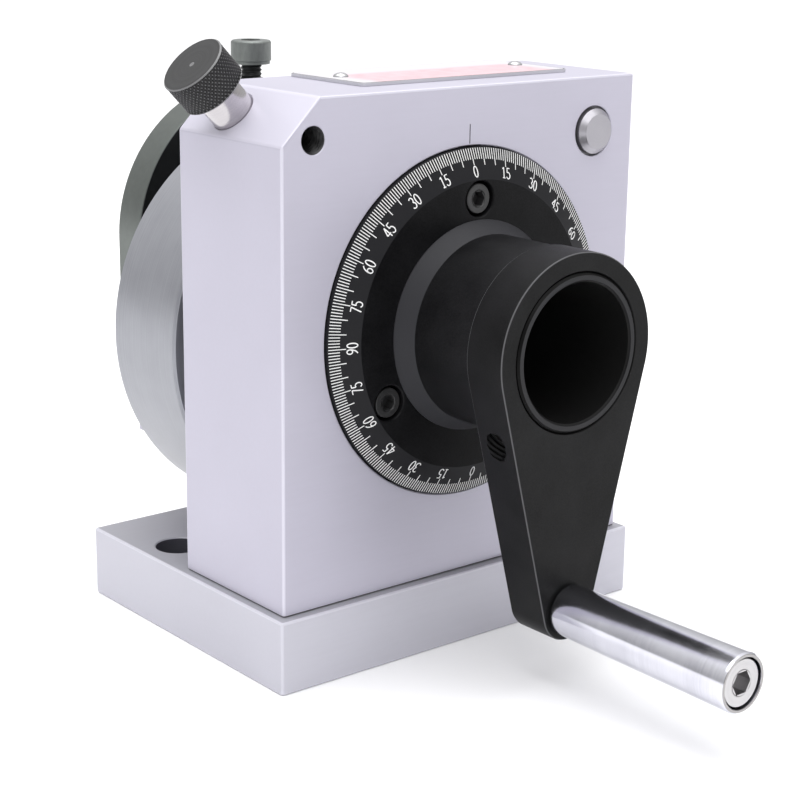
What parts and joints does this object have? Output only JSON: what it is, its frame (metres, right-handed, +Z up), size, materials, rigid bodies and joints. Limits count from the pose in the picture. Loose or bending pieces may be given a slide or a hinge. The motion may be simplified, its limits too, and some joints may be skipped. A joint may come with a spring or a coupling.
{
  "type": "punch former",
  "caption": "Hand-cranked indexing punch former: a ground base and block carry a graduated spindle with a crank, an offset vee slide and a clamp bridge.",
  "frame": {"origin": "on the underside of the base, straight below the spindle axis, in the plane of the block's dial-side face", "axes": "+Z up, +Y along the spindle from the dial side to the vee side, +X to the right seen from the dial side"},
  "size_m": [0.1448, 0.2285, 0.1761],
  "materials": {
    "ground_steel": "fine ground steel, satin",
    "black_oxide": "blackened steel, satin",
    "spindle_steel": "blackened turned steel, satin",
    "bright_steel": "bright ground steel",
    "bridge_steel": "grey-green hardened steel",
    "handle_chrome": "polished and plated",
    "screw_black": "black socket screws",
    "screw_bright": "bright screw steel, turned",
    "bush_bronze": "bearing bronze, turned",
    "tool_steel": "hardened tool steel, ground",
    "spring_steel": "drawn spring wire",
    "plate_enamel": "pale red field in a bright border, blank",
    "rivet_metal": "bright rivet"
  },
  "bodies": {
    "root": {"base_plate": "ground_steel", "body_block": "ground_steel", "base_screws": "screw_black", "base_dowels": "tool_steel", "front_bush": "bush_bronze", "rear_bush": "bush_bronze", "name_plate": "plate_enamel", "plate_rivets": "rivet_metal", "plunger_housing": "bright_steel", "housing_set_screw": "screw_black"},
    "spindle": {"spindle": "spindle_steel", "index_ring": "tool_steel", "index_key": "tool_steel", "dial": "black_oxide", "dial_screws": "screw_black", "hub_sleeve": "black_oxide", "crank_arm": "black_oxide", "arm_set_screw": "screw_black", "handle_bolt": "screw_bright", "adjusting_nut": "bush_bronze"},
    "handle": {"handle_sleeve": "handle_chrome"},
    "slide": {"slide_disc": "bright_steel", "slide_gib": "tool_steel", "gib_screws": "screw_black", "screw_bush": "screw_black", "v_block": "bright_steel", "v_block_screws": "screw_black", "clamp_bridge": "bridge_steel", "bridge_screws": "screw_black"},
    "adjusting_screw": {"adjusting_screw": "tool_steel"},
    "clamp_pad": {"clamp_pad": "tool_steel"},
    "clamp_screw": {"clamp_screw": "bridge_steel"},
    "plunger": {"index_knob": "black_oxide", "plunger_pin": "tool_steel", "plunger_spring": "spring_steel"},
    "stop_pin": {"stop_pin": "screw_bright"}
  },
  "joints": [
    {"name": "spindle_turn", "type": "hinge", "parent": "root", "child": "spindle", "pos_m": [0, 0, 0.096], "axis": [0, 1, 0], "continuous": true},
    {"name": "handle_spin", "type": "hinge", "parent": "spindle", "child": "handle", "pos_m": [0, -0.077, 0.023], "axis": [0, 1, 0], "continuous": true},
    {"name": "slide_travel", "type": "slide", "parent": "spindle", "child": "slide", "axis": [0, 0, 1], "range_m": [0, 0.023]},
    {"name": "adjust_turn", "type": "hinge", "parent": "slide", "child": "adjusting_screw", "pos_m": [-0.042, 0.064, 0.0845], "axis": [0, 0, 1], "range_deg": [0, 6624]},
    {"name": "clamp_travel", "type": "slide", "parent": "slide", "child": "clamp_pad", "axis": [0, 0, 1], "range_m": [-0.0048, 0.02]},
    {"name": "clamp_turn", "type": "hinge", "parent": "clamp_pad", "child": "clamp_screw", "pos_m": [0, 0.10575, 0.112], "axis": [0, 0, 1], "range_deg": [-1382.4, 5760]},
    {"name": "index_engage", "type": "slide", "parent": "root", "child": "plunger", "axis": [0.6947, 0, -0.7193], "range_m": [0, 0.005]},
    {"name": "stop_pin_slide", "type": "slide", "parent": "root", "child": "stop_pin", "axis": [0, -1, 0], "range_m": [0, 0.036]}
  ],
  "couplings": [
    {"joint": "adjust_turn", "follows": "slide_travel", "rad_per_m": 5026.5},
    {"joint": "clamp_turn", "follows": "clamp_travel", "rad_per_m": 5026.5}
  ]
}
